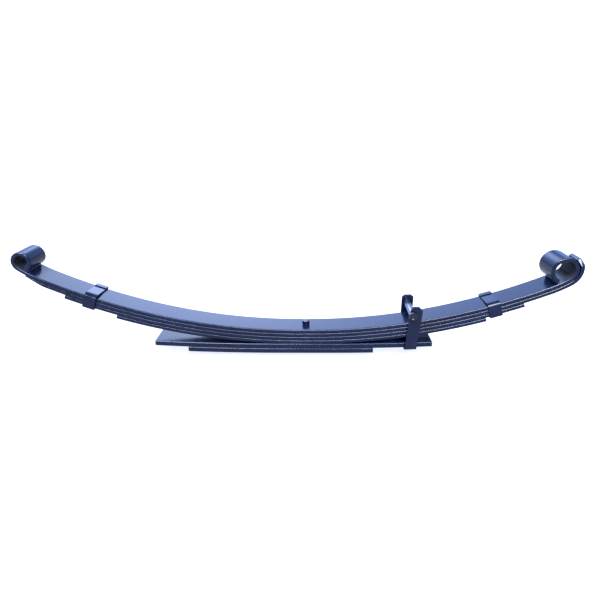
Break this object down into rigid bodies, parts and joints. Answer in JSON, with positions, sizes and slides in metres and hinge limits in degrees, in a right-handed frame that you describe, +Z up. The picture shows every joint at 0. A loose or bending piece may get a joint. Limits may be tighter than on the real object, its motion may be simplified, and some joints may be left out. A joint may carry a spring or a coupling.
{
  "type": "leaf spring",
  "caption": "Semi-elliptic leaf spring with upturned eyes, a wrapped second leaf, flat overload leaves, clinch clips and a bolt clip.",
  "frame": {"origin": "centre bolt axis at the top face of the main leaf", "axes": "+X along the spring towards the fixed eye, Y across the width, +Z up, out of the centre bolt's head"},
  "size_m": [1.1348, 0.0914, 0.237],
  "materials": {
    "leaf_paint": "satin blue-black paint over rolled spring steel",
    "clip_paint": "gloss blue-black paint over bent strip",
    "bolt_paint": "gloss black paint over turned steel",
    "zinc": "bright zinc plate"
  },
  "bodies": {
    "seat": {"main_leaf_seat": "leaf_paint", "second_leaf_seat": "leaf_paint", "third_leaf_seat": "leaf_paint", "fourth_leaf_seat": "leaf_paint", "overload_leaf": "leaf_paint", "bottom_leaf": "leaf_paint", "centre_bolt": "bolt_paint", "centre_nut": "bolt_paint", "bolt_clip": "clip_paint", "bolt_clip_rivet": "clip_paint", "clip_bolt": "bolt_paint", "spacer_tube": "zinc", "clip_washer": "zinc", "clip_nut": "bolt_paint"},
    "fixed_arm": {"main_leaf_fixed": "leaf_paint", "second_leaf_fixed": "leaf_paint", "third_leaf_fixed": "leaf_paint", "fourth_leaf_fixed": "leaf_paint", "fixed_clip": "clip_paint", "fixed_clip_rivet": "clip_paint"},
    "shackle_arm": {"main_leaf_shackle": "leaf_paint", "second_leaf_shackle": "leaf_paint", "third_leaf_shackle": "leaf_paint", "fourth_leaf_shackle": "leaf_paint", "shackle_clip": "clip_paint", "shackle_clip_rivet": "clip_paint"}
  },
  "joints": [
    {"name": "fixed_flex", "type": "hinge", "parent": "seat", "child": "fixed_arm", "pos_m": [0.1649, 0, -0.00653], "axis": [0, 1, 0], "range_deg": [-3, 11], "stiffness_Nm_per_rad": 3200},
    {"name": "shackle_flex", "type": "hinge", "parent": "seat", "child": "shackle_arm", "pos_m": [-0.1649, 0, -0.00653], "axis": [0, -1, 0], "range_deg": [-3, 11], "stiffness_Nm_per_rad": 2600}
  ]
}
